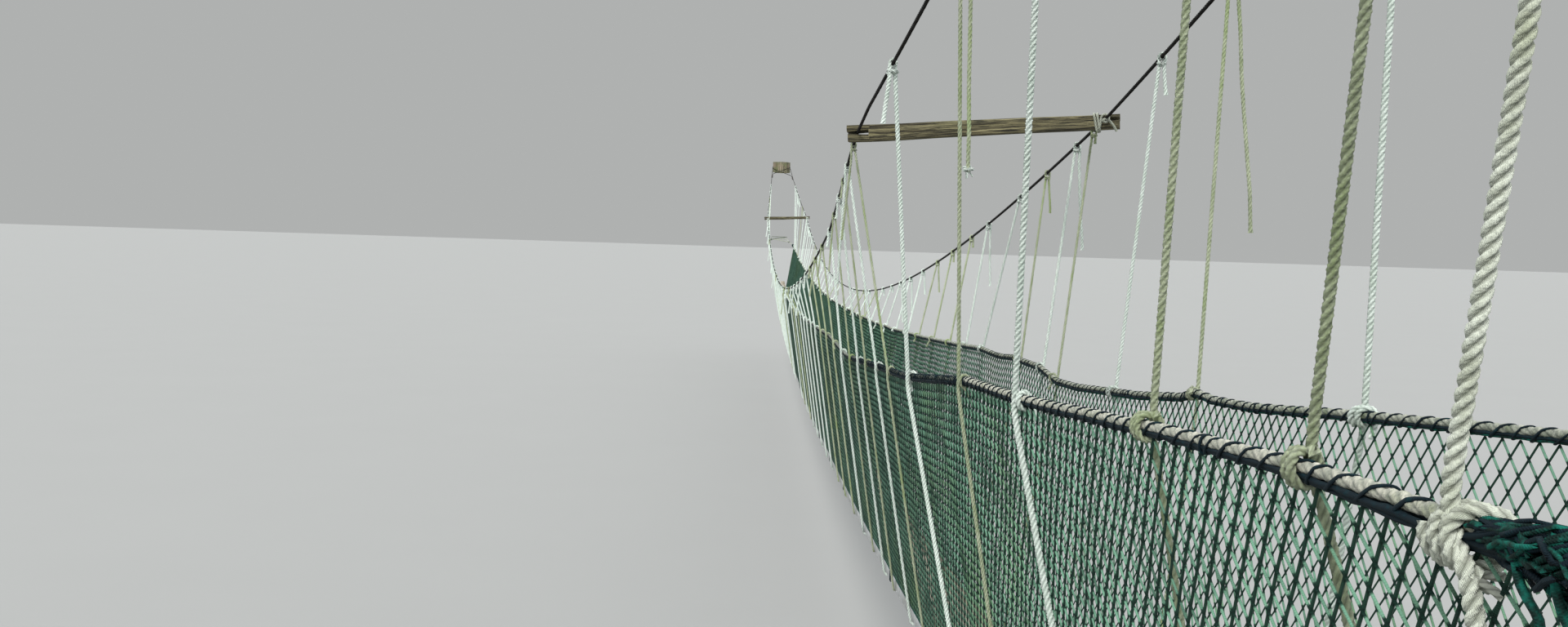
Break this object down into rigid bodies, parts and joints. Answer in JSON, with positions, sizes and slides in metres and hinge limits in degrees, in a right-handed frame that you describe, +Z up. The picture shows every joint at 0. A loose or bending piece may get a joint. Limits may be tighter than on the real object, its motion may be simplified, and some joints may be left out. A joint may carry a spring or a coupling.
{
  "type": "rope suspension footbridge",
  "caption": "Narrow walkway hung between trees: sagging steel cables, rope hangers, rope handrails, side nets and a plank deck on ladders.",
  "frame": {"origin": "middle of the flat inner face of the near timber packing ring that bears on the back of the near tree's trunk, at the height of the cable eyes", "axes": "+Y along the bridge from the near tree to the far one, +X to the right seen from the near end, +Z up"},
  "size_m": [1.095, 37.0284, 4.2508],
  "materials": {
    "steel_rope": "dull black weathered wire rope",
    "handrail_rope": "three-strand rope, grey cream with algae",
    "white_rope": "three-strand synthetic rope, off-white",
    "weathered_rope": "three-strand rope, yellow green with age",
    "net_twine": "braided dark green twine",
    "aluminium": "dull mill finish",
    "deck_timber": "bare weathered planks",
    "weathered_timber": "rough sawn, grey brown"
  },
  "bodies": {
    "root": {"main_cable_left": "steel_rope", "cable_eye_left_near": "steel_rope", "cable_eye_left_far": "steel_rope", "main_cable_right": "steel_rope", "cable_eye_right_near": "steel_rope", "cable_eye_right_far": "steel_rope", "handrail_rope_left": "handrail_rope", "handrail_eye_left_near": "handrail_rope", "handrail_eye_left_far": "handrail_rope", "handrail_rope_right": "handrail_rope", "handrail_eye_right_near": "handrail_rope", "handrail_eye_right_far": "handrail_rope", "tree_packing_near": "weathered_timber", "tree_packing_far": "weathered_timber", "spreader_beam_near": "weathered_timber", "spreader_beam_far": "weathered_timber", "deck_ladder_1": "aluminium", "deck_planks_1": "deck_timber", "deck_ladder_2": "aluminium", "deck_planks_2": "deck_timber", "deck_ladder_3": "aluminium", "deck_planks_3": "deck_timber", "deck_ladder_4": "aluminium", "deck_planks_4": "deck_timber", "deck_ladder_5": "aluminium", "deck_planks_5": "deck_timber", "deck_ladder_6": "aluminium", "deck_planks_6": "deck_timber", "side_net_left": "net_twine", "side_net_right": "net_twine", "hanger_pair_01": "white_rope", "hanger_pair_02": "weathered_rope", "hanger_pair_03": "white_rope", "hanger_pair_04": "weathered_rope", "hanger_pair_05": "white_rope", "hanger_pair_06": "weathered_rope", "hanger_pair_07": "white_rope", "hanger_pair_08": "weathered_rope", "hanger_pair_09": "white_rope", "hanger_pair_10": "weathered_rope", "hanger_pair_11": "white_rope", "hanger_pair_12": "weathered_rope", "hanger_pair_13": "white_rope", "hanger_pair_14": "weathered_rope", "hanger_pair_15": "white_rope", "hanger_pair_16": "weathered_rope", "hanger_pair_17": "white_rope", "hanger_pair_18": "weathered_rope", "hanger_pair_19": "white_rope", "hanger_pair_20": "weathered_rope", "hanger_pair_21": "white_rope", "hanger_pair_22": "weathered_rope", "hanger_pair_23": "white_rope", "hanger_pair_24": "weathered_rope"}
  },
  "joints": []
}
